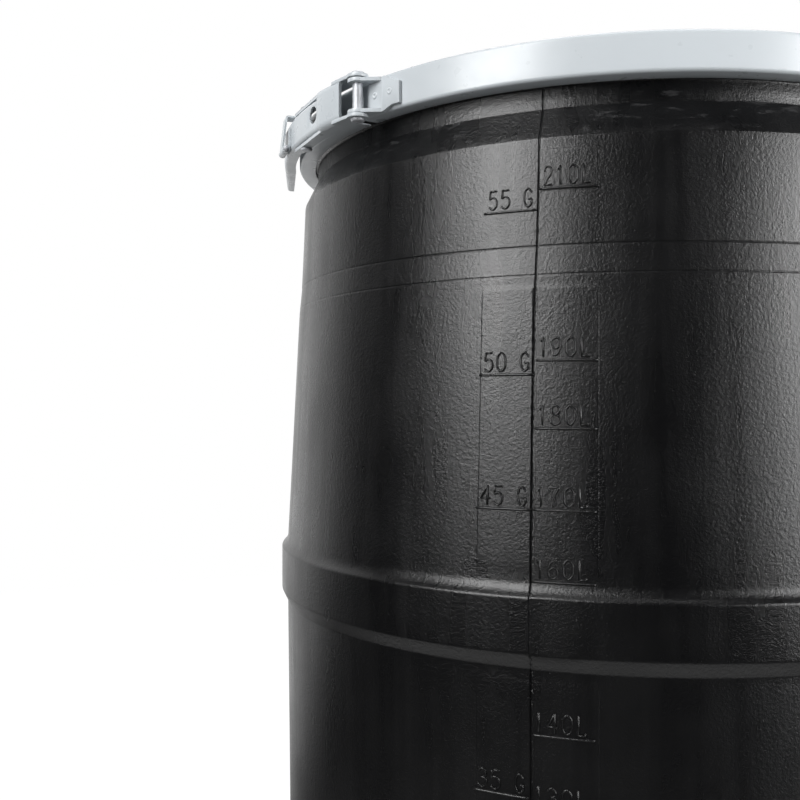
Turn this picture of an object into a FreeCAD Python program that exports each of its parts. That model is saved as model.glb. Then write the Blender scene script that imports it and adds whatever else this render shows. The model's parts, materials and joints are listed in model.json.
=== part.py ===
# Open-head plastic drum, 208 litres, closed by a recessed lid and a steel lever-lock ring.
#
# Frame: millimetres, +Z up, origin on the drum's axis in the plane of the foot ring. Bearings round the
# drum are degrees from -Y, positive towards +X, so the latch is at negative bearings, on the -X side.
# A "local" shape has X radial, Y along the circumference (towards +X at the front) and Z up, and
# at_bearing() turns it into place.
import FreeCAD, Part
import math
import os
from FreeCAD import Vector

# ---- driving dimensions -------------------------------------------------------------------------
CREST_R = 292.0          # rolling hoops, the widest part of the drum
WALL = 3.6               # moulded wall
MOUTH_R = 254.0          # clear mouth
NECK_R = 260.5           # neck under the rim bead
BEAD_R = 273.5           # rim bead that the ring pulls against
BEAD_TOP = 921.6
CLEAR = 0.3              # gap between pieces that only rest on each other

RING_R = 277.0           # closing ring, outer face
RING_LOW, RING_TOP = 904.8, 931.3
RING_EDGE_R = 263.0      # inner edge of the ring's two legs
RING_SHEET = 1.2
RING_BEND = 2.6
RING_RIGHT_END = -29.4   # bearings where the band's two ends stop
RING_LEFT_END = -31.1

PLATE_R = RING_R + CLEAR # brackets on the ring's face start here
SHEET = 1.8              # fulcrum bracket's sheet
PIVOT = (-27.7, 287.5)   # yoke to the ring's right end: bearing, radius
JOINT = (-46.0, 283.3)   # yoke to lever
FULCRUM = (-37.2, 284.2) # cross pin on the ring's left end that the lever's claws push on
PIVOT_PIN_R = 3.6
SMALL_PIN_R = 2.6
RUNNING = 0.08           # radial clearance of a pin in its running holes
FIXED = 0.02             # radial clearance where the pin is riveted tight
CLAW_GAP = 0.35

ANCHOR_SHEET = 2.6
ANCHOR_LOW, ANCHOR_TOP = 904.6, 929.2

YOKE_R = 294.5           # yoke, outer face
YOKE_SHEET = 2.4
YOKE_LOW, YOKE_TOP = 901.8, 932.4
YOKE_EDGE_R = 279.8
YOKE_START, YOKE_WINDOW, YOKE_END = -30.3, -36.4, -48.8
YOKE_BEND = 5.0
EAR_R = 7.7

LEVER_R = 290.0          # lever, outer face
LEVER_SHEET = 1.6
LEVER_LOW, LEVER_TOP = 904.9, 929.5
LEVER_EDGE_R = 280.4
LEVER_START, LEVER_BEND = -36.8, -63.3
TAIL_LENGTH = 86.0       # straight tail after the curved stretch
TAIL_FLANGE = 6.0        # what is left of its flanges at the end
HOLE_BEARING, HOLE_R = -39.5, 6.4   # hole for a padlock or a wire seal

FLAP_BEARING = -52.8
FLAP_AXIS = (293.8, 907.0)  # radius and height of the flap's hinge pin
KNUCKLE_R = 2.9
FLAP_PIN_R = 1.5
FLAP_SHEET = 1.4
FLAP_WIDTH = 13.0
LEAF_WIDTH = 21.0

LID_TOP = RING_TOP - RING_SHEET - CLEAR
LID_R = RING_R - RING_SHEET - CLEAR - 0.7
LID_FLOOR = 909.5        # top of the recessed floor
LID_WALL = 3.6
LID_RIBS = 12
GASKET_IN, GASKET_OUT = 258.9, 269.9


# ---- helpers ------------------------------------------------------------------------------------
def rounded_face(corners):
    """Face in the XZ plane from corners (x, z) or (x, z, radius); a radius rounds that corner."""
    points = [Vector(c[0], 0, c[1]) for c in corners]
    radii = [c[2] if len(c) > 2 else 0 for c in corners]
    ends = []
    for i, corner in enumerate(points):
        before = (points[i - 1] - corner).normalize()
        after = (points[(i + 1) % len(points)] - corner).normalize()
        if radii[i] == 0:
            ends.append((corner, None, corner))
            continue
        half = before.getAngle(after) / 2
        reach = radii[i] / math.tan(half)
        middle = (before + after).normalize()
        crown = corner + middle * (radii[i] / math.sin(half) - radii[i])
        ends.append((corner + before * reach, crown, corner + after * reach))
    edges = []
    for i, (start, crown, end) in enumerate(ends):
        if crown is not None:
            edges.append(Part.Arc(start, crown, end).toShape())
        following = ends[(i + 1) % len(ends)][0]
        if (following - end).Length > 1e-6:
            edges.append(Part.makeLine(end, following))
    return Part.Face(Part.Wire(edges))


def turn(shape, bearing):
    """Turns a local shape round the drum's axis to a bearing."""
    shape.rotate(Vector(0, 0, 0), Vector(0, 0, 1), bearing - 90)
    return shape


def at_bearing(shape, bearing):
    return turn(shape.copy(), bearing)


def sweep_round(face, bearing_from, bearing_to):
    """Revolves an XZ face about the drum's axis between two bearings, the first one lower."""
    whole = face.revolve(Vector(0, 0, 0), Vector(0, 0, 1), bearing_to - bearing_from)
    return at_bearing(whole, bearing_from)


def sector(r_in, r_out, low, high, bearing_from, bearing_to):
    """Flat or upright strip concentric with the drum."""
    face = rounded_face([(r_in, low), (r_out, low), (r_out, high), (r_in, high)])
    return sweep_round(face, bearing_from, bearing_to)


def point(bearing, radius, z=0.0):
    angle = math.radians(bearing)
    return Vector(radius * math.sin(angle), -radius * math.cos(angle), z)


def post(place, radius, low, high):
    """Upright cylinder at (bearing, radius)."""
    return Part.makeCylinder(radius, high - low, point(*place, low))


def channel_face(r_out, r_edge, low, high, sheet, bend):
    """Sheet channel whose open side faces the drum's axis."""
    return rounded_face([
        (r_edge, low), (r_out, low, bend), (r_out, high, bend), (r_edge, high),
        (r_edge, high - sheet), (r_out - sheet, high - sheet, bend - sheet),
        (r_out - sheet, low + sheet, bend - sheet), (r_edge, low + sheet),
    ])


def plate(outline, low, high):
    """Flat plate from a closed list of world XY points."""
    wire = Part.makePolygon([Vector(p.x, p.y, low) for p in outline + outline[:1]])
    return Part.Face(wire).extrude(Vector(0, 0, high - low))


def domed_pin(place, shaft_r, head_r, low, high, head=2.0):
    """Rivet: a shaft between low and high, with a domed head outside each."""
    face = rounded_face([
        (0, low - head), (head_r, low - head, head * 0.7), (head_r, low), (shaft_r, low),
        (shaft_r, high), (head_r, high), (head_r, high + head, head * 0.7), (0, high + head),
    ])
    rivet = face.revolve(Vector(0, 0, 0), Vector(0, 0, 1), 360)
    rivet.translate(point(*place))
    return rivet


def joined(first, *rest):
    return first.fuse(list(rest)).removeSplitter()


# ---- drum and lid -------------------------------------------------------------------------------
def drum_body():
    side = [  # outer radius, height, rounding; the wall's inside follows it
        (279.0, 42, 12), (283.6, 243, 4), (CREST_R, 255.5, 6), (CREST_R, 289.6, 3),
        (284.2, 297.4, 10), (286.8, 534.4, 4), (CREST_R, 545, 6), (CREST_R, 579.5, 3),
        (286.9, 584.6, 12), (276.7, 782), (275, 800), (272.1, 869.3, 2.5),
    ]
    foot = [(0, 14), (216, 14, 8), (229, 0, 4), (264, 0, 11), (270, 25, 6)]
    rim = [
        (261.2, 891, 3), (NECK_R, 905.6, 2.5), (BEAD_R, 908.8, 2),
        (BEAD_R, BEAD_TOP, 2), (MOUTH_R, BEAD_TOP, 2.5),
    ]
    throat = [(MOUTH_R, 891, 8), (267.4, 864, 7)]
    inside = [(r - WALL, z, 6) for r, z, *_ in reversed(side[:-1])]
    floor = [(266, 27, 6), (262, 4.2, 7), (232, 4.2, 4), (219, 18, 8), (0, 18)]
    face = rounded_face(foot + side + rim + throat + inside + floor)
    return face.revolve(Vector(0, 0, 0), Vector(0, 0, 1), 360)


def lid():
    section = rounded_face([
        (0, 914), (118, 914, 3), (123, LID_FLOOR, 3), (243, LID_FLOOR, 6), (247.5, LID_TOP, 4),
        (LID_R, LID_TOP, 2.4), (LID_R, 922.5), (270.3, 922.5), (270.3, 926.4), (258.5, 926.4),
        (258.5, 922.5), (MOUTH_R - 0.8, 922.5, 2), (MOUTH_R - 0.8, 899, 1.5), (249.4, 899, 1.5),
        (249.4, LID_FLOOR - LID_WALL, 2), (121, LID_FLOOR - LID_WALL, 2), (116, 914 - LID_WALL, 3),
        (0, 914 - LID_WALL),
    ])
    body = section.revolve(Vector(0, 0, 0), Vector(0, 0, 1), 360)
    rib = rounded_face([(130, LID_FLOOR - 1), (244, LID_FLOOR - 1), (244, 914, 0), (236, 912.5), (130, 912.5, 2)])
    rib = rib.extrude(Vector(0, 5, 0))
    rib.translate(Vector(0, -2.5, 0))
    ribs = [at_bearing(rib, i * 360 / LID_RIBS) for i in range(LID_RIBS)]
    return joined(body, *ribs)


def lid_gasket():
    face = rounded_face([
        (GASKET_IN, BEAD_TOP + CLEAR, 1.5), (GASKET_OUT, BEAD_TOP + CLEAR, 1.5),
        (GASKET_OUT, 926.2, 1), (GASKET_IN, 926.2, 1),
    ])
    return face.revolve(Vector(0, 0, 0), Vector(0, 0, 1), 360)


# ---- closing ring -------------------------------------------------------------------------------
def ring_band():
    section = channel_face(RING_R, RING_EDGE_R, RING_LOW, RING_TOP, RING_SHEET, RING_BEND)
    return sweep_round(section, RING_RIGHT_END, RING_LEFT_END + 360)


def anchor_bracket():
    low, high = ANCHOR_LOW, ANCHOR_TOP
    start, ear_end, tongue_end = -29.3, -24.1, -20.8
    outline = [  # along the ring from the ears' right end, height
        (-30, low), (0, low), (9.3, 907.6), (18, 907.6), (18, 922.6), (13, 923.2), (2, high), (-30, high),
    ]
    corners = [Vector(PLATE_R - 4, y, z) for y, z in outline + outline[:1]]
    prism = Part.Face(Part.makePolygon(corners)).extrude(Vector(12, 0, 0))
    strip = sector(PLATE_R, PLATE_R + ANCHOR_SHEET, low, high, start, tongue_end)
    face_plate = strip.common(at_bearing(prism, ear_end))
    bearing, radius = PIVOT
    root = PLATE_R + 0.9
    outline = [
        point(bearing - 1.45, root), point(bearing - 1.42, radius),
        point(bearing + 0.55, radius + EAR_R - 0.95), point(ear_end, root + 0.9), point(ear_end, root),
    ]
    keep_off = Part.makeCylinder(PLATE_R, RING_TOP)
    ears = [
        joined(plate(outline, z, z + ANCHOR_SHEET), post(PIVOT, EAR_R - 0.5, z, z + ANCHOR_SHEET)).cut(keep_off)
        for z in (low, high - ANCHOR_SHEET)
    ]
    body = joined(face_plate, *ears)
    return body.cut(post(PIVOT, PIVOT_PIN_R + FIXED, low - 1, high + 1))


def fulcrum_bracket():
    low, high = 909.0, 925.4
    bearing, radius = FULCRUM
    face_plate = sector(PLATE_R, PLATE_R + SHEET, low, high, -45.5, bearing + 1.6)
    ears = []
    for z in (low, high - SHEET):
        arm = sector(PLATE_R, radius + 1.5, z, z + SHEET, bearing - 2.6, bearing)
        ears.append(joined(arm, post(FULCRUM, 3.9, z, z + SHEET)))
    body = joined(face_plate, *ears)
    return body.cut(post(FULCRUM, SMALL_PIN_R + FIXED, low - 1, high + 1))


def fulcrum_pin():
    return post(FULCRUM, SMALL_PIN_R, LEVER_LOW + 0.1, LEVER_TOP - 0.1)


# ---- yoke and lever -----------------------------------------------------------------------------
def yoke():
    section = channel_face(YOKE_R, YOKE_EDGE_R, YOKE_LOW, YOKE_TOP, YOKE_SHEET, YOKE_BEND)
    channel = sweep_round(section, YOKE_WINDOW, YOKE_START)
    arm = [
        point(YOKE_WINDOW + 0.2, YOKE_EDGE_R), point(YOKE_WINDOW + 0.2, YOKE_R - YOKE_BEND + 1.5),
        point(YOKE_END, LEVER_R - 1.0), point(YOKE_END - 0.3, YOKE_EDGE_R + 2.0),
        point(-43.3, YOKE_EDGE_R),
    ]
    keep_off = Part.makeCylinder(YOKE_EDGE_R, YOKE_TOP + 1)
    flanges = []
    for z in (YOKE_LOW, YOKE_TOP - YOKE_SHEET):
        up = z + YOKE_SHEET
        strip = sector(YOKE_EDGE_R, YOKE_R - 0.4, z, up, YOKE_START - 2.0, PIVOT[0])
        end = post(PIVOT, EAR_R, z, up)
        flanges.append(joined(strip, end, plate(arm, z, up)).cut(keep_off))
    body = joined(channel, *flanges)
    body = body.cut(post(PIVOT, PIVOT_PIN_R + RUNNING, YOKE_LOW - 1, YOKE_TOP + 1))
    return body.cut(post(JOINT, SMALL_PIN_R + FIXED, YOKE_LOW - 1, YOKE_TOP + 1))


def claw_room():
    """What is cut from the lever's flanges so that they only reach round the fulcrum's outer left."""
    half = SMALL_PIN_R + CLAW_GAP
    low, high = LEVER_LOW - 1, LEVER_TOP + 1
    way_out = Part.makeBox(12, 14, high - low, Vector(FULCRUM[1] + half - 12, 0, low))
    below = Part.makeBox(12, half + 1, high - low, Vector(FULCRUM[1] - 12.6, -half, low))
    return joined(post(FULCRUM, half, low, high), at_bearing(way_out.fuse(below), FULCRUM[0]))


def lever():
    section = channel_face(LEVER_R, LEVER_EDGE_R, LEVER_LOW, LEVER_TOP, LEVER_SHEET, 3.6)
    curved = sweep_round(section, LEVER_BEND, LEVER_START)
    run = section.extrude(Vector(0, -TAIL_LENGTH, 0))
    edge, low = LEVER_EDGE_R, LEVER_LOW - 1
    wedge = Part.Face(Part.makePolygon([
        Vector(edge - 1, 1, low), Vector(edge, 1, low), Vector(edge, -8, low),
        Vector(LEVER_R - TAIL_FLANGE, -TAIL_LENGTH - 1, low), Vector(edge - 1, -TAIL_LENGTH - 1, low),
        Vector(edge - 1, 1, low),
    ])).extrude(Vector(0, 0, LEVER_TOP - LEVER_LOW + 2))
    end = rounded_end().common(run.cut(wedge))
    body = joined(curved, turn(end, LEVER_BEND))
    body = body.cut(claw_room())
    body = body.cut(post(JOINT, SMALL_PIN_R + RUNNING, LEVER_LOW - 1, LEVER_TOP + 1))
    hole = Part.makeCylinder(HOLE_R, 10, Vector(LEVER_R - 6, 0, 918.6), Vector(1, 0, 0))
    return body.cut(at_bearing(hole, HOLE_BEARING))


def rounded_end():
    """Local block that gives the tail rounded end corners when seen from outside."""
    low, high, radius = LEVER_LOW - 1, LEVER_TOP + 1, 5.5
    block = Part.makeBox(40, TAIL_LENGTH + 2, high - low, Vector(LEVER_R - 30, -TAIL_LENGTH, low))
    corners = [e for e in block.Edges if all(abs(v.Y + TAIL_LENGTH) < 1e-6 for v in e.Vertexes)]
    corners = [e for e in corners if abs(e.Vertexes[0].Z - e.Vertexes[1].Z) < 1e-6]
    return block.makeFillet(radius, corners)


# ---- safety flap --------------------------------------------------------------------------------
def tangent_bar(width, radius):
    """Cylinder on the flap's hinge axis, centred on its bearing, in the local frame."""
    r, z = FLAP_AXIS
    return Part.makeCylinder(radius, width, Vector(r, -width / 2, z), Vector(0, 1, 0))


def upright_slab(corners, width):
    """Local slab from an XZ outline, centred on Y = 0."""
    slab = rounded_face(corners).extrude(Vector(0, width, 0))
    slab.translate(Vector(0, -width / 2, 0))
    return slab


def flap_leaf():
    r, z = FLAP_AXIS
    foot = LEVER_R
    slab = upright_slab([
        (foot, 924, 0), (foot, 909.6, 0), (r - 1.4, z - KNUCKLE_R + 0.35, 0.6), (r + 1.5, z, 0),
        (r - 1.5, z + 2.7, 0), (foot + FLAP_SHEET, 912.4, 2), (foot + FLAP_SHEET, 924, 0),
    ], LEAF_WIDTH)
    body = joined(slab, tangent_bar(LEAF_WIDTH, KNUCKLE_R))
    gap = FLAP_WIDTH + 2 * CLEAR
    room = Part.makeBox(14, gap, 10.5, Vector(foot + 0.3, -gap / 2, z - 6.0))
    curved_back = Part.makeCylinder(LEVER_R + 0.02, YOKE_TOP)
    body = body.cut(room).cut(tangent_bar(LEAF_WIDTH + 2, FLAP_PIN_R + FIXED))
    return at_bearing(body, FLAP_BEARING).cut(curved_back)


def safety_flap():
    r, z = FLAP_AXIS
    top, lip = LEVER_TOP + 5.6, 285.2
    outer_foot, outer_top = r + KNUCKLE_R, 293.4
    slab = upright_slab([
        (outer_foot, z, 0), (outer_top, top, 2.4), (lip, top, 0.6), (lip, top - FLAP_SHEET, 0.6),
        (outer_top - FLAP_SHEET, top - FLAP_SHEET, 1.0), (outer_foot - FLAP_SHEET, z, 0),
    ], FLAP_WIDTH)
    body = joined(slab, tangent_bar(FLAP_WIDTH, KNUCKLE_R))
    return at_bearing(body.cut(tangent_bar(FLAP_WIDTH + 2, FLAP_PIN_R + RUNNING)), FLAP_BEARING)


def flap_pin():
    shaft = tangent_bar(LEAF_WIDTH + 1.0, FLAP_PIN_R)
    r, z = FLAP_AXIS
    heads = [
        Part.makeSphere(2.5, Vector(r, side * (LEAF_WIDTH / 2 + 0.4), z)).common(
            Part.makeBox(8, 8, 8, Vector(r - 4, side * (LEAF_WIDTH / 2 + 4.0) - 4.0, z - 4)))
        for side in (-1, 1)
    ]
    return at_bearing(joined(shaft, *heads), FLAP_BEARING)


PARTS = {
    "drum_body": drum_body,
    "lid": lid,
    "lid_gasket": lid_gasket,
    "ring_band": ring_band,
    "anchor_bracket": anchor_bracket,
    "fulcrum_bracket": fulcrum_bracket,
    "fulcrum_pin": fulcrum_pin,
    "yoke": yoke,
    "lever": lever,
    "pivot_rivet": lambda: domed_pin(PIVOT, PIVOT_PIN_R, 5.0, YOKE_LOW - CLEAR, YOKE_TOP + CLEAR),
    "yoke_rivet": lambda: domed_pin(JOINT, SMALL_PIN_R, 4.6, YOKE_LOW, YOKE_TOP),
    "flap_leaf": flap_leaf,
    "safety_flap": safety_flap,
    "flap_pin": flap_pin,
}

os.makedirs("parts", exist_ok=True)
for name, make in PARTS.items():
    made = make()
    count = len(made.Solids)
    print(f"{name}: valid {made.isValid()}, solids {count}, volume {made.Volume / 1000:.2f} cm3")
    solid = made.Solids[0] if count == 1 else Part.makeCompound(made.Solids)
    solid.exportStep(f"parts/{name}.step")
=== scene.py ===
# Black plastic open-head drum with a light-grey lever-lock ring, built round the imported CAD model.
# Lengths in the tables are millimetres and bearings are degrees from -Y, positive towards +X; to_world
# turns both into metres in the CAD frame.
import bpy
import json
import math
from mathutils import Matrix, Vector, noise


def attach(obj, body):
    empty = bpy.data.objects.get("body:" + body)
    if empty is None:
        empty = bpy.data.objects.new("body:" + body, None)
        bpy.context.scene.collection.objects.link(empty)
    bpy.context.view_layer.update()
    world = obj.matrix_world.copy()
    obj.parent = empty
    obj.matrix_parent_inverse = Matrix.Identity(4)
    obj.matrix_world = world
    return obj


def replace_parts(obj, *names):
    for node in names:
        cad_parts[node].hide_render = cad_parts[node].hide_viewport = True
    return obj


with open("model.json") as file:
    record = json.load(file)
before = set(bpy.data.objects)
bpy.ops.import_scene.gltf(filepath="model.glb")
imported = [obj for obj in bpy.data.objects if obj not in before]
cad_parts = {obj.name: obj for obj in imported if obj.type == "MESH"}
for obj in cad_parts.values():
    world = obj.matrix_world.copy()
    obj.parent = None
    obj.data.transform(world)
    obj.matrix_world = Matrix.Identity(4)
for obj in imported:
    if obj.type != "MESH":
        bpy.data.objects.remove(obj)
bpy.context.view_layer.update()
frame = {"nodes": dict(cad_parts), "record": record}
nodes = frame["nodes"]
scene = bpy.context.scene

# ---- shapes shared with the CAD -------------------------------------------------------------------
CREST_R = 292.0
WALL = 3.6
MOUTH_R = 254.0
BEAD_R, BEAD_TOP = 273.5, 921.6
SIDE = [
    (279.0, 42, 12), (283.6, 243, 4), (CREST_R, 255.5, 6), (CREST_R, 289.6, 3),
    (284.2, 297.4, 10), (286.8, 534.4, 4), (CREST_R, 545, 6), (CREST_R, 579.5, 3),
    (286.9, 584.6, 12), (276.7, 782), (275.0, 800), (272.1, 869.3, 2.5),
]
FOOT = [(0.5, 14), (216, 14, 8), (229, 0, 4), (264, 0, 11), (270, 25, 6)]
RIM = [
    (261.2, 891, 3), (260.5, 905.6, 2.5), (BEAD_R, 908.8, 2),
    (BEAD_R, BEAD_TOP, 2), (MOUTH_R, BEAD_TOP, 2.5),
]
THROAT = [(MOUTH_R, 891, 8), (267.4, 864, 7)]
FLOOR = [(266, 27, 6), (262, 4.2, 7), (232, 4.2, 4), (219, 18, 8), (0.5, 18)]
SCRIBED = (800.0, 781.5)
NECK_Z = 868  # the shoulder's top corner, where the raised marks end and the rubbed neck begins
BEAD_Z = 891  # the underside of the rim bead
WALL_R = 285  # radius that turns arc lengths on the wall into bearings


# ---- mesh helpers ---------------------------------------------------------------------------------
def rounded(corners, closed=True, facet=1.0, span=12.0):
    """Points along an outline of (x, z) or (x, z, radius) corners, with the radii as arcs."""
    points = [Vector(c[:2]) for c in corners]
    out = []
    for i, corner in enumerate(points):
        radius = corners[i][2] if len(corners[i]) > 2 else 0.0
        if radius == 0 or (not closed and i in (0, len(points) - 1)):
            out.append(corner.copy())
            continue
        before = (points[i - 1] - corner).normalized()
        after = (points[(i + 1) % len(points)] - corner).normalized()
        half = before.angle(after) / 2
        reach = radius / math.tan(half)
        middle = corner + (before + after).normalized() * (radius / math.sin(half))
        start, end = corner + before * reach, corner + after * reach
        steps = max(3, round(radius * (math.pi - 2 * half) / facet))
        for k in range(steps + 1):
            swing = (start - middle).normalized().slerp((end - middle).normalized(), k / steps)
            out.append(middle + swing * radius)
    dense = []
    pairs = zip(out, out[1:] + out[:1]) if closed else zip(out, out[1:])
    for a, b in pairs:
        parts = max(1, math.ceil((b - a).length / span))
        dense.extend(a.lerp(b, k / parts) for k in range(parts))
    if not closed:
        dense.append(out[-1])
    return dense


def to_world(bearing, radius, z):
    """Point in metres from a bearing in degrees and millimetres."""
    angle = math.radians(bearing)
    return Vector((radius * math.sin(angle), -radius * math.cos(angle), z)) / 1000


def make_mesh(name, points, faces, material, body):
    """New object that rides a body. points are world positions in metres."""
    mesh = bpy.data.meshes.new(name)
    mesh.from_pydata(points, [], faces)
    mesh.validate()
    mesh.polygons.foreach_set("use_smooth", [True] * len(mesh.polygons))
    mesh.materials.append(material)
    piece = bpy.data.objects.new(name, mesh)
    scene.collection.objects.link(piece)
    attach(piece, body)
    return piece


def sweep_faces(columns, rows, around, closed_row):
    """Quads of a grid of columns of points, closed around or within each column."""
    faces = []
    for i in range(columns if around else columns - 1):
        for j in range(rows if closed_row else rows - 1):
            a, b = i * rows, (i + 1) % columns * rows
            k = (j + 1) % rows
            faces.append((a + j, b + j, b + k, a + k))
    return faces


def lathe(name, outline, bearings, material, body, shift=None, closed_row=True):
    """Outline turned round the drum's axis; shift(bearing, r, z) moves a point outwards."""
    points = []
    for bearing in bearings:
        for r, z in outline:
            extra = shift(bearing, r, z) if shift else 0.0
            points.append(to_world(bearing, r + extra, z))
    faces = sweep_faces(len(bearings), len(outline), True, closed_row)
    return make_mesh(name, points, faces, material, body)


def ease(x, low, high):
    """Smooth step from 0 at low to 1 at high."""
    t = min(1.0, max(0.0, (x - low) / (high - low)))
    return t * t * (3 - 2 * t)


# ---- materials ------------------------------------------------------------------------------------
class Shader:
    """A Principled material with short-hands for adding nodes."""

    def __init__(self, name, colour, roughness, metallic=0.0):
        self.material = bpy.data.materials.new(name)
        self.material.use_nodes = True
        self.tree = self.material.node_tree
        self.main = self.tree.nodes["Principled BSDF"]
        self.main.inputs["Base Color"].default_value = (*colour, 1)
        self.main.inputs["Roughness"].default_value = roughness
        self.main.inputs["Metallic"].default_value = metallic
        self.place = self.tree.nodes.new("ShaderNodeTexCoord").outputs["Object"]

    def add(self, kind, inputs=None, **settings):
        node = self.tree.nodes.new("ShaderNode" + kind)
        for key, value in settings.items():
            setattr(node, key, value)
        for key, value in (inputs or {}).items():
            if isinstance(value, bpy.types.NodeSocket):
                self.tree.links.new(value, node.inputs[key])
            else:
                node.inputs[key].default_value = value
        return node

    def noise(self, scale, detail=2.0, rough=0.5, stretch=(1, 1, 1)):
        spread = self.add("Mapping", {"Vector": self.place, "Scale": stretch}).outputs[0]
        settings = {"Vector": spread, "Scale": scale, "Detail": detail, "Roughness": rough}
        return self.add("TexNoise", settings).outputs[0]

    def ramp(self, value, low, high, out_low=0.0, out_high=1.0):
        node = self.add("MapRange", {"Value": value, "From Min": low, "From Max": high,
                                     "To Min": out_low, "To Max": out_high})
        node.interpolation_type = "SMOOTHSTEP"
        return node.outputs[0]

    def maths(self, operation, a, b):
        return self.add("Math", {0: a, 1: b}, operation=operation).outputs[0]

    def mix(self, factor, a, b):
        node = self.add("Mix", {"Factor": factor}, data_type="RGBA")
        for key, value in ((6, a), (7, b)):
            if isinstance(value, bpy.types.NodeSocket):
                self.tree.links.new(value, node.inputs[key])
            else:
                node.inputs[key].default_value = (*value, 1)
        return node.outputs[2]

    def bump(self, height, distance, strength=1.0, below=None):
        inputs = {"Height": height, "Distance": distance, "Strength": strength}
        if below:
            inputs["Normal"] = below
        return self.add("Bump", inputs).outputs[0]

    def plug(self, key, value):
        self.tree.links.new(value, self.main.inputs[key])


def moulded_plastic(name, colour, grain, roughness, rubbed):
    """Blow-moulded polyethylene: leathery peel, die lines, flow streaks, specks, scuffs, a rubbed neck."""
    s = Shader(name, colour, roughness)
    s.main.inputs["Specular IOR Level"].default_value = 0.5
    peel = s.noise(grain, 3.0, 0.6)
    bumps = s.add("TexVoronoi", {"Vector": s.place, "Scale": grain * 0.45}, feature="SMOOTH_F1")
    lines = s.noise(grain * 0.8, 2.0, 0.5, (1, 1, 0.06))
    cells = s.maths("MULTIPLY", bumps.outputs["Distance"], 0.5)
    height = s.maths("ADD", s.maths("MULTIPLY", peel, 0.8), cells)
    height = s.maths("ADD", height, s.maths("MULTIPLY", lines, 0.14))
    wavy = s.bump(s.noise(8.0, 2.0, 0.5, (1, 1, 0.3)), 0.001, 0.14)
    s.plug("Normal", s.bump(height, 0.0004, 0.66, wavy))
    streak = s.noise(60.0, 2.0, 0.6, (1, 1, 0.05))
    cloud = s.noise(14.0, 3.0, 0.6)
    uneven = s.maths("ADD", s.maths("MULTIPLY", streak, 0.5), s.maths("MULTIPLY", cloud, 0.5))
    s.plug("Roughness", s.ramp(uneven, 0.35, 0.66, roughness - 0.04, roughness + 0.06))
    scuff = s.ramp(s.noise(70.0, 9.0, 0.8, (1, 1, 0.6)), 0.7, 0.8, 0.0, 0.12)
    speck = s.ramp(s.noise(1000.0, 2.0, 0.5), 0.76, 0.82, 0.0, 0.6)
    upward = s.add("SeparateXYZ", {0: s.place}).outputs[2]
    rubs = s.ramp(s.noise(45.0, 6.0, 0.7, (1, 1, 5)), 0.56, 0.68, 0.0, rubbed)
    rubs = s.maths("MULTIPLY", rubs, s.ramp(upward, NECK_Z / 1000 - 0.002, NECK_Z / 1000 + 0.004))
    pale = tuple(c * 3 + 0.03 for c in colour)
    marks = s.maths("MAXIMUM", s.maths("MAXIMUM", scuff, speck), rubs)
    s.plug("Base Color", s.mix(marks, colour, pale))
    return s.material


def ring_enamel(name, colour):
    """Baked light-grey paint on steel: soft orange peel, faint mottling, fine specks and rubbed edges."""
    s = Shader(name, colour, 0.3)
    s.main.inputs["Coat Weight"].default_value = 0.06
    s.main.inputs["Coat Roughness"].default_value = 0.15
    dents = s.bump(s.noise(30.0, 2.0), 0.0006, 0.08)
    s.plug("Normal", s.bump(s.noise(420.0, 2.0, 0.5), 0.00005, 0.4, dents))
    tint = s.ramp(s.noise(16.0, 3.0, 0.55), 0.3, 0.75, 0.0, 1.0)
    base = s.mix(tint, colour, tuple(c * 0.97 for c in colour))
    speck = s.ramp(s.noise(800.0, 2.0, 0.5), 0.74, 0.8, 0.0, 0.25)
    base = s.mix(speck, base, tuple(c * 0.5 for c in colour))
    edge = s.add("NewGeometry").outputs["Pointiness"]
    patchy = s.maths("ADD", edge, s.maths("MULTIPLY", s.noise(160.0, 4.0), 0.08))
    worn = s.ramp(patchy, 0.6, 0.66, 0.0, 0.4)
    s.plug("Base Color", s.mix(worn, base, tuple(c * 0.62 for c in colour)))
    s.plug("Roughness", s.ramp(s.noise(90.0, 3.0), 0.3, 0.7, 0.27, 0.36))
    return s.material


def turned_steel(name, light, dark):
    """Dull plating on a turned pin, with fine turning marks and cloudy patches; in near-black colours it
    paints shade on the pin.
    """
    s = Shader(name, light, 0.45, 0.3)
    s.plug("Roughness", s.ramp(s.noise(240.0, 3.0), 0.3, 0.7, 0.36, 0.5))
    s.plug("Base Color", s.mix(s.ramp(s.noise(140.0, 4.0), 0.35, 0.7), light, dark))
    s.plug("Normal", s.bump(s.noise(500.0, 2.0, 0.5, (1, 1, 0.1)), 0.00003, 0.3))
    return s.material


def soft_rubber(name):
    """Black sponge rubber with dusty patches."""
    black, dusty = (0.02, 0.02, 0.021), (0.05, 0.05, 0.05)
    s = Shader(name, black, 0.7)
    s.plug("Normal", s.bump(s.noise(500.0, 3.0), 0.0001, 0.5))
    s.plug("Base Color", s.mix(s.ramp(s.noise(80.0, 4.0), 0.4, 0.7), black, dusty))
    return s.material


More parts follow.
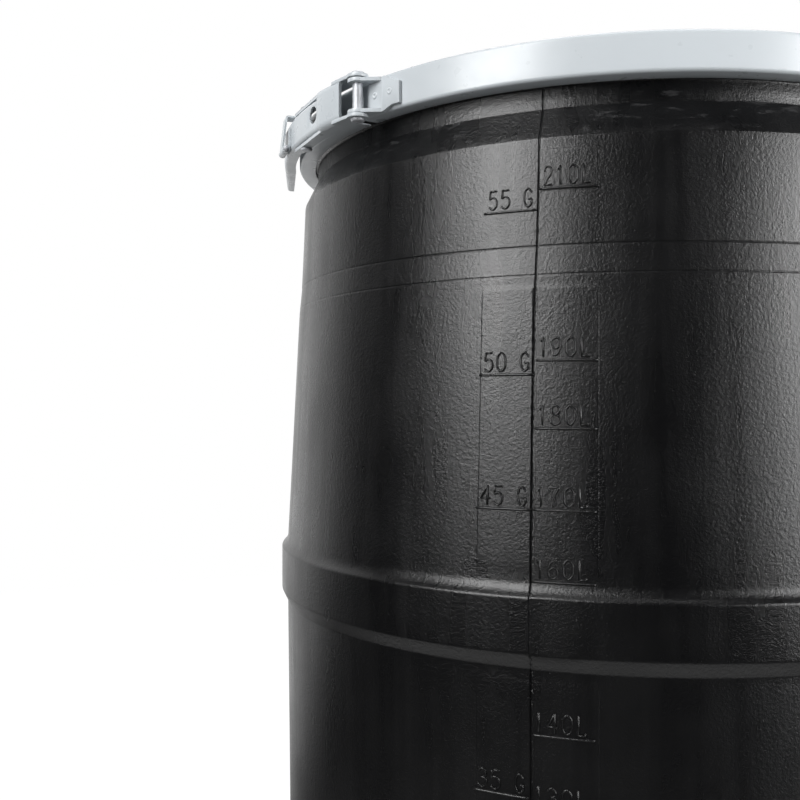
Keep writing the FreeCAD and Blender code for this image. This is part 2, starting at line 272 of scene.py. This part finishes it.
DRUM = moulded_plastic("drum_plastic", (0.0018, 0.0018, 0.0021), 1050.0, 0.29, 0.8)
LID = moulded_plastic("lid_plastic", (0.0026, 0.0026, 0.0029), 900.0, 0.34, 0.2)
RING = ring_enamel("ring_paint", (0.49, 0.525, 0.55))
LATCH = ring_enamel("latch_paint", (0.47, 0.505, 0.53))
PIN = turned_steel("pin_steel", (0.55, 0.57, 0.6), (0.42, 0.43, 0.45))
# Near-black copy of the pin steel: painted shade for the pin seen through the lever's hole, which sits in
# shadow.
PAINTED_SHADE_PIN = turned_steel("pin_painted_shade", (0.05, 0.05, 0.053), (0.025, 0.025, 0.027))
RUBBER = soft_rubber("gasket_rubber")
BY_SLOT = {
    "drum_plastic": DRUM, "lid_plastic": LID, "ring_paint": RING, "latch_paint": LATCH,
    "pin_steel": PIN, "gasket_rubber": RUBBER,
}
for entry in frame["record"]["subparts"]:
    node = nodes[entry["node"]]
    for held in node.material_slots:
        held.material = BY_SLOT[entry["material_slot"]]
# The fulcrum pin takes the near-black painted shade in place of its plated steel.
nodes["fulcrum_pin"].material_slots[0].material = PAINTED_SHADE_PIN

# The pressed latch parts get their small rounded edges.
for name in ("anchor_bracket", "yoke", "lever", "flap_leaf", "safety_flap", "fulcrum_bracket"):
    weld = nodes[name].modifiers.new("weld", "WELD")
    weld.merge_threshold = 1e-6
    edge = nodes[name].modifiers.new("edge", "BEVEL")
    edge.width = 0.00035
    edge.segments = 2
    edge.limit_method = "ANGLE"
    edge.angle_limit = math.radians(40)
    edge.harden_normals = True

# ---- drum -----------------------------------------------------------------------------------------
SIDE_LINE = rounded([(270, 25)] + SIDE + [(261.2, 891)], closed=False, facet=0.8, span=9.0)
LEFT_PANEL, RIGHT_PANEL = (-7.4, -0.3), (0.3, 8.2)
PANELS = [  # bearings and heights of the raised fields that carry the scale
    (*LEFT_PANEL, 597, 773.5), (*RIGHT_PANEL, 597, 773.5), (*RIGHT_PANEL, 836, 862),
    (*LEFT_PANEL, 307, 527), (*RIGHT_PANEL, 307, 527), (*LEFT_PANEL, 60, 236), (*RIGHT_PANEL, 60, 236),
]
NEAR_HOOPS = (597, 307, 527, 236)


def skin(z):
    """Outer radius of the wall at a height."""
    for a, b in zip(SIDE_LINE, SIDE_LINE[1:]):
        if a.y <= z <= b.y and b.y > a.y:
            return a.x + (b.x - a.x) * (z - a.y) / (b.y - a.y)
    return SIDE_LINE[-1].x


def panel_height(bearing, z):
    """Height of the raised fields; they fade out where they meet a hoop."""
    height = 0.0
    for left, right, low, high in PANELS:
        across = ease(bearing, left - 0.05, left + 0.05)
        across *= 1 - ease(bearing, right - 0.05, right + 0.05)
        soft_low, soft_high = (5.0 if edge in NEAR_HOOPS else 0.3 for edge in (low, high))
        up = ease(z, low - soft_low, low + soft_low) * (1 - ease(z, high - soft_high, high + soft_high))
        height = max(height, across * up)
    return 0.24 * height


def seam_bearing(z):
    """Bearing of the line on which the two mould halves met; it drifts near the top."""
    return 0.45 * ease(z, 720, 860) + 0.04 * noise.noise(Vector((z * 0.02, 0, 7.7)))


def seam_step(bearing, z):
    """The right half stands a little proud of the left one, with a pinched groove between them."""
    arc = math.radians(bearing - seam_bearing(z)) * WALL_R
    groove = 0.5 * math.exp(-((arc + 0.75) / 0.45) ** 2)
    groove *= 1 + 0.7 * noise.noise(Vector((z * 0.06, 1, 1)))
    return 0.3 * ease(arc, -0.35, 0.35) * (1 - ease(abs(arc), 15, 45)) - groove


def wall_relief(bearing, r, z):
    """How far a point of the drum's outside moves outwards; nothing on its inside, foot or bead."""
    outside = 25 < z < 905 and r > (skin(z) if z < BEAD_Z else 261.0) - 1.5
    if not outside:
        return 0.0
    angle = math.radians(bearing)
    relief = 0.3 * noise.noise(Vector((math.sin(angle) * 3.0, math.cos(angle) * 3.0, z * 0.008)))
    signed = bearing if abs(bearing) < 180 else bearing - math.copysign(360, bearing)
    if z < NECK_Z:
        relief += panel_height(signed, z)
        for line in SCRIBED:
            relief -= 0.26 * math.exp(-((z - line) / 0.6) ** 2)
        low, high = SCRIBED[1], SCRIBED[0]
        relief -= 0.12 * ease(z, low - 0.3, low + 0.3) * (1 - ease(z, high - 0.3, high + 0.3))
    if abs(signed) < 12:
        relief += seam_step(signed, z)
    elif abs(signed) > 168:
        relief += seam_step(math.copysign(180, signed) - signed, z + 300)
    return min(relief, CREST_R - 0.2 - r) if r > 288 else relief


def drum_bearings():
    """A column each degree, and closer ones at the seams, the raised fields and their edges."""
    seams = [k * 0.07 for k in range(-6, 13)] + [180 + k * 0.14 for k in range(-6, 7)]
    edges = [e + d for e in (-7.4, 8.2) for d in (-0.06, -0.02, 0.02, 0.06)]
    near = [k * 0.25 for k in range(-36, 37) if k % 4]
    return sorted({round(b, 4) for b in seams + edges + near + [k * 1.0 for k in range(-179, 181)]})


def drum_outline():
    """The drum's section, with extra rows at the scribed lines and at the ends of the raised fields."""
    heights = [line + d * 0.28 for line in SCRIBED for d in range(-6, 7)]
    edges = sorted({edge for panel in PANELS for edge in panel[2:]})
    heights += [z for edge in edges for z in (edge - 0.35, edge, edge + 0.35)]
    side_rows = [Vector((skin(z), z)) for z in heights]
    outer = rounded(FOOT + SIDE + RIM, closed=False, facet=0.9, span=5.0)
    start = next(i for i, p in enumerate(outer) if p.y > 30)
    stop = next(i for i, p in enumerate(outer) if p.y > 871)
    middle = sorted(outer[start:stop] + side_rows, key=lambda p: p.y)
    inner = [(r - WALL, z, 6) for r, z, *_ in reversed(SIDE[:-1])]
    inside = rounded([(MOUTH_R, BEAD_TOP)] + THROAT + inner + FLOOR, closed=False, facet=2.5, span=30.0)
    return outer[:start] + middle + outer[stop:] + inside[1:]


def seam_flash(name, middle, shift):
    """Ragged thread of flash that stands along one seam."""
    points, faces = [], []
    foot_z, pitch = 31, 1.1
    heights = [foot_z + k * pitch for k in range(int((NECK_Z - foot_z) / pitch))]
    across = (-1.5, -1.0, -0.62, -0.3, 0.0, 0.3, 0.62)
    for z in heights:
        rough = noise.noise(Vector((z * 0.5, 1.7, shift)))
        rough += 0.6 * noise.noise(Vector((z * 0.16, 4.1, shift)))
        jump = 0.35 * noise.noise(Vector((z * 0.34, 8.3, shift)))
        thick = max(0.15, 0.62 + 0.85 * rough)
        rise = (-0.8, -0.6, -0.1, thick * 0.85, thick, thick * 0.5 + 0.2, -0.1)
        bearing = middle + (seam_bearing(z) if middle == 0 else 0)
        for offset, up in zip(across, rise):
            place = bearing + math.degrees((offset + jump) / WALL_R)
            points.append(to_world(place, min(skin(z) + up + 0.05, CREST_R - 0.1), z))
    faces = sweep_faces(len(heights), len(across), False, False)
    return make_mesh(name, points, faces, DRUM, "drum")


drum = lathe("drum_shell", drum_outline(), drum_bearings(), DRUM, "drum", wall_relief,
             closed_row=False)
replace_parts(drum, "drum_body")
seam_flash("seam_front", 0, 0.0)
seam_flash("seam_back", 180, 50.0)

# ---- fill scale -----------------------------------------------------------------------------------
GLYPHS = {  # strokes in a box 1 wide and 1 high
    "0": [[(0.5, 1), (0.12, 0.8), (0.08, 0.5), (0.12, 0.2), (0.5, 0),
           (0.88, 0.2), (0.92, 0.5), (0.88, 0.8), (0.5, 1)]],
    "1": [[(0.1, 0.8), (0.6, 1)], [(0.6, 1), (0.6, 0)]],
    "2": [[(0.08, 0.75), (0.2, 0.94), (0.5, 1), (0.85, 0.9), (0.86, 0.64), (0.5, 0.36), (0.08, 0)],
          [(0.08, 0), (0.95, 0)]],
    "3": [[(0.1, 0.85), (0.5, 1), (0.88, 0.8), (0.8, 0.6), (0.45, 0.53)],
          [(0.45, 0.53), (0.85, 0.45), (0.92, 0.2), (0.5, 0), (0.08, 0.14)]],
    "4": [[(0.75, 0), (0.75, 1)], [(0.75, 1), (0.05, 0.32)], [(0.05, 0.32), (1, 0.32)]],
    "5": [[(0.88, 1), (0.2, 1)], [(0.2, 1), (0.14, 0.58)],
          [(0.14, 0.58), (0.5, 0.66), (0.88, 0.5), (0.88, 0.18), (0.5, 0), (0.08, 0.12)]],
    "6": [[(0.8, 0.95), (0.35, 0.85), (0.1, 0.5), (0.12, 0.15), (0.5, 0),
           (0.88, 0.15), (0.86, 0.45), (0.5, 0.57), (0.12, 0.4)]],
    "7": [[(0.05, 0.85), (0.08, 1), (0.95, 1)], [(0.95, 1), (0.55, 0.5), (0.42, 0)]],
    "8": [[(0.5, 0.54), (0.16, 0.66), (0.16, 0.9), (0.5, 1), (0.84, 0.9), (0.84, 0.66), (0.5, 0.54)],
          [(0.5, 0.54), (0.08, 0.4), (0.1, 0.1), (0.5, 0), (0.9, 0.1), (0.92, 0.4), (0.5, 0.54)]],
    "9": [[(0.2, 0.05), (0.65, 0.15), (0.9, 0.5), (0.88, 0.85), (0.5, 1),
           (0.12, 0.85), (0.14, 0.55), (0.5, 0.43), (0.88, 0.6)]],
    "G": [[(0.9, 0.8), (0.5, 1), (0.12, 0.8), (0.08, 0.3), (0.45, 0), (0.88, 0.15)],
          [(0.88, 0.15), (0.88, 0.42)], [(0.88, 0.42), (0.55, 0.42)]],
    "L": [[(0.2, 1), (0.2, 0)], [(0.2, 0), (0.9, 0)], [(0.9, 0), (0.9, 0.1)]],
}
# Each mark's number and the height of its bar.
LITRES = [(210, 836.5), (190, 727.2), (180, 684.4), (170, 633.6), (160, 589.2), (140, 494.0),
          (130, 448.0), (120, 404.0), (110, 361.0), (100, 318.0), (80, 230.0), (60, 160.0)]
GALLONS = [(55, 823.6), (50, 718.4), (45, 633.5), (35, 454.0), (30, 384.0), (20, 226.0), (15, 152.0)]
LEAN = -0.0014  # degrees that a column moves per millimetre of height below its top
NUMBER_GAP, NUMBER_TALL = 2.4, 11.8
BAR, STROKE = (1.9, 1.45), (1.6, 1.25)  # width and height of the raised lines


def curve_through(points, steps=5):
    """Catmull-Rom points through a stroke; a stroke of two points stays straight."""
    if len(points) < 3:
        return [Vector(p) for p in points]
    p = [Vector(points[0]) * 2 - Vector(points[1])] + [Vector(q) for q in points]
    p.append(p[-1] * 2 - p[-2])
    if (p[1] - p[-2]).length < 1e-6:
        p[0], p[-1] = p[-3], p[2]
    out = []
    for a, b, c, d in zip(p, p[1:], p[2:], p[3:]):
        for k in range(steps):
            t = k / steps
            bend = (2 * a - 5 * b + 4 * c - d) * t**2 + (3 * b - a - 3 * c + d) * t**3
            out.append(0.5 * (2 * b + (c - a) * t + bend))
    return out + [p[-2]]


def bead(path, width, height, points, faces):
    """Adds a raised half-round line along a path of (arc millimetres, z) to a mesh being built."""
    section = [(-0.5, -0.25), (-0.36, 0.55), (-0.14, 0.95), (0.14, 0.95), (0.36, 0.55), (0.5, -0.25)]
    path = [Vector(p) for p in path]
    first, last = (path[0] - path[1]).normalized(), (path[-1] - path[-2]).normalized()
    path = [path[0] + first * width * 0.45] + path + [path[-1] + last * width * 0.45]
    start = len(points)
    for i, place in enumerate(path):
        ahead, behind = path[min(i + 1, len(path) - 1)], path[max(i - 1, 0)]
        along = (ahead - behind).normalized()
        side = Vector((-along.y, along.x))
        full = 0.25 if i in (0, len(path) - 1) else 1.0
        for across, up in section:
            spot = place + side * across * width * full
            lift = height * (up if full == 1.0 else -0.25)
            bearing = math.degrees(spot.x / WALL_R)
            base = skin(spot.y) + panel_height(bearing, spot.y)
            points.append(to_world(bearing, base + lift, spot.y))
    rows = len(section)
    faces.extend(tuple(start + v for v in f) for f in sweep_faces(len(path), rows, False, False))


def split(a, b, pieces=12):
    """Points along a straight line."""
    return [Vector(a).lerp(Vector(b), k / pieces) for k in range(pieces + 1)]


def fill_scale():
    """Raised numbers and bars of the fill scale; the columns lean slightly, as the mould halves do."""
    points, faces = [], []
    unit = math.radians(1) * WALL_R
    columns = (  # marks, unit, bearings of the bar's ends, bearing of each letter, its width in millimetres
        (LITRES, "L", (0.45, 8.1), (0.95, 2.3, 4.15, 5.95), (5.8, 6.6, 6.8, 6.0)),
        (GALLONS, " G", (-7.35, 0.0), (-6.75, -5.0, 0, -1.75), (6.4, 6.6, 0, 6.0)),
    )
    for column, unit_sign, bar, starts, widths in columns:
        for number, z in column:
            lean = LEAN * (830 - z)
            ends = [(b + lean) * unit for b in bar]
            bead(split((ends[0], z), (ends[1], z)), *BAR, points, faces)
            word = str(number).rjust(4 - len(unit_sign)) + unit_sign
            for letter, start, width in zip(word, starts, widths):
                wide = width if letter != "1" else 3.0
                start += 0.5 if letter == "1" and number == 210 else 0.0
                for stroke in GLYPHS.get(letter, []):
                    left, low = (start + lean) * unit, z + NUMBER_GAP
                    line = [(left + x * wide, low + y * NUMBER_TALL) for x, y in curve_through(stroke)]
                    bead(line, *STROKE, points, faces)
    return make_mesh("fill_scale", points, faces, DRUM, "drum")


fill_scale()

# ---- gasket ---------------------------------------------------------------------------------------
GASKET_R, GASKET_Z = (258.9, 269.9), (921.9, 926.2)
gasket_outline = rounded([
    (GASKET_R[0], GASKET_Z[0], 1.5), (GASKET_R[1], GASKET_Z[0], 1.5),
    (GASKET_R[1], GASKET_Z[1], 1), (GASKET_R[0], GASKET_Z[1], 1),
], facet=0.6)
whole_turn = [k * 1.0 for k in range(-180, 180)]
gasket = lathe("gasket_ring", gasket_outline, whole_turn, RUBBER, "cover")
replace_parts(gasket, "lid_gasket")

# ---- closing ring ---------------------------------------------------------------------------------
RING_R, RING_EDGE_R, RING_LOW, RING_TOP, SHEET, BEND = 277.0, 263.0, 904.8, 931.3, 1.2, 2.6
RING_ENDS = (-29.4, 328.9)
BRACKET_FACE_R = 279.95


def ring_outline():
    """The ring's channel section."""
    return rounded([
        (RING_EDGE_R, RING_LOW, 0.5), (RING_R, RING_LOW, BEND),
        (RING_R, RING_TOP, BEND), (RING_EDGE_R, RING_TOP, 0.5),
        (RING_EDGE_R, RING_TOP - SHEET, 0.5), (RING_R - SHEET, RING_TOP - SHEET, BEND - SHEET),
        (RING_R - SHEET, RING_LOW + SHEET, BEND - SHEET), (RING_EDGE_R, RING_LOW + SHEET, 0.5),
    ], facet=0.4, span=4.0)


def closing_ring():
    """One strip from end to end, pressed in a little here and there, with its two ends closed."""
    outline = ring_outline()
    count = 420
    spots = [RING_ENDS[0] + (RING_ENDS[1] - RING_ENDS[0]) * k / count for k in range(count + 1)]
    points = []
    for bearing in spots:
        angle = math.radians(bearing)
        for r, z in outline:
            ripple = 0.12 * noise.noise(Vector((math.sin(angle) * 7, math.cos(angle) * 7, z * 0.05)))
            points.append(to_world(bearing, r - abs(ripple), z))
    rows = len(outline)
    faces = sweep_faces(len(spots), rows, False, True)
    faces.append(tuple(reversed(range(rows))))
    faces.append(tuple(range(count * rows, (count + 1) * rows)))
    return make_mesh("ring_strip", points, faces, RING, "ring")


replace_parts(closing_ring(), "ring_band")


def spot_weld(name, bearing, z):
    """Shallow pit with a pushed-up rim where the bracket is welded to the ring."""
    profile = [(0.0, 0.05), (0.6, 0.0), (1.1, 0.35), (1.6, 0.6), (2.1, 0.4), (2.7, -0.15)]
    points, faces, count = [], [], 20
    unit = math.degrees(1 / 280)
    for k in range(count):
        turn = math.tau * k / count
        for away, up in profile:
            dent = 1 + 0.12 * noise.noise(Vector((math.cos(turn), math.sin(turn), bearing)))
            points.append(to_world(bearing + away * dent * math.cos(turn) * unit, BRACKET_FACE_R + up,
                                   z + away * dent * math.sin(turn)))
    faces = sweep_faces(count, len(profile), True, False)
    make_mesh(name, points, faces, RING, "ring")


spot_weld("spot_weld_1", -25.7, 917.3)
spot_weld("spot_weld_2", -22.7, 917.3)

# ---- stage, lights and camera ---------------------------------------------------------------------
def paper():
    """White studio sweep: white to the eye; the drum sees it bright behind itself and near its foot."""
    s = Shader("stage_paper", (0.06, 0.06, 0.06), 0.9)
    s.plug("Base Color", s.mix(s.noise(3.0, 2.0), (0.055, 0.055, 0.055), (0.065, 0.065, 0.065)))
    s.main.inputs["Specular IOR Level"].default_value = 0.0
    depth = s.add("SeparateXYZ", {0: s.place}).outputs[1]
    seen = s.add("Emission", {"Color": (1, 1, 1, 1), "Strength": 1.0})
    away = s.add("VectorMath", {0: s.place}, operation="LENGTH").outputs["Value"]
    glow = s.maths("MAXIMUM", s.ramp(depth, 0.1, 0.9, 0.0, 0.8), s.ramp(away, 0.5, 0.9, 0.7, 0.0))
    far = s.add("Emission", {"Color": (1, 1, 1, 1), "Strength": glow})
    lit = s.add("AddShader", {0: far.outputs[0], 1: s.main.outputs[0]})
    both = s.add("AddShader", {0: seen.outputs[0], 1: s.main.outputs[0]})
    blend = s.add("MixShader", {0: s.add("LightPath").outputs["Is Camera Ray"], 1: lit.outputs[0],
                                2: both.outputs[0]})
    s.tree.links.new(blend.outputs[0], s.tree.nodes["Material Output"].inputs["Surface"])
    return s.material


def stage_floor():
    """Round floor under the drum."""
    radius, count = 3.2, 96
    turns = [math.tau * k / count for k in range(count)]
    edge = [(radius * math.cos(turn), radius * math.sin(turn), 0) for turn in turns]
    mesh = bpy.data.meshes.new("floor")
    mesh.from_pydata(edge, [], [tuple(range(count))])
    mesh.materials.append(paper())
    floor = bpy.data.objects.new("floor", mesh)
    scene.collection.objects.link(floor)


def softbox(name, bearing, elevation, distance, size, glow, aim=0.72):
    """Rectangular light of an even glow that faces the drum from a bearing and an elevation."""
    data = bpy.data.lights.new(name, "AREA")
    data.shape = "RECTANGLE"
    data.size, data.size_y = size
    data.energy = math.pi * size[0] * size[1] * glow
    light = bpy.data.objects.new(name, data)
    turn, rise = math.radians(bearing), math.radians(elevation)
    away = Vector((math.sin(turn) * math.cos(rise), -math.cos(turn) * math.cos(rise), math.sin(rise)))
    light.location = Vector((0, 0, aim)) + away * distance
    light.rotation_euler = (-away).to_track_quat("-Z", "Y").to_euler()
    light.visible_camera = False
    scene.collection.objects.link(light)


def studio_world():
    """White to the eye, and only a faint fill on the drum."""
    world = bpy.data.worlds.new("studio")
    world.use_nodes = True
    tree = world.node_tree
    seen = tree.nodes["Background"]
    seen.inputs["Color"].default_value = (1, 1, 1, 1)
    seen.inputs["Strength"].default_value = 1.0
    fill = tree.nodes.new("ShaderNodeBackground")
    fill.inputs["Color"].default_value = (0.96, 0.98, 1, 1)
    fill.inputs["Strength"].default_value = 0.012
    path = tree.nodes.new("ShaderNodeLightPath")
    blend = tree.nodes.new("ShaderNodeMixShader")
    tree.links.new(path.outputs["Is Camera Ray"], blend.inputs[0])
    tree.links.new(fill.outputs[0], blend.inputs[1])
    tree.links.new(seen.outputs[0], blend.inputs[2])
    tree.links.new(blend.outputs[0], tree.nodes["World Output"].inputs["Surface"])
    scene.world = world


stage_floor()
studio_world()
scene.view_settings.view_transform = "Standard"
softbox("softbox_left", -24.5, 26.0, 2.4, (0.95, 1.9), 12.0)
softbox("softbox_right", 80.0, 10.0, 2.3, (1.4, 1.5), 10.5)
softbox("back_left", -128.0, 8.0, 3.0, (4.2, 3.6), 1.0)
softbox("back_right", 150.0, 10.0, 3.0, (3.6, 3.6), 1.0)
softbox("overhead", 180.0, 82.0, 2.6, (2.2, 2.2), 2.2, 0.9)

eye = bpy.data.cameras.new("camera")
eye.lens = 43.65
camera = bpy.data.objects.new("camera", eye)
camera.location = (0.14735, -0.87960, 0.698)
facing = Vector((-0.3697, 0.9291, math.tan(0.00704)))
camera.rotation_euler = facing.to_track_quat("-Z", "Y").to_euler()
scene.collection.objects.link(camera)
scene.camera = camera
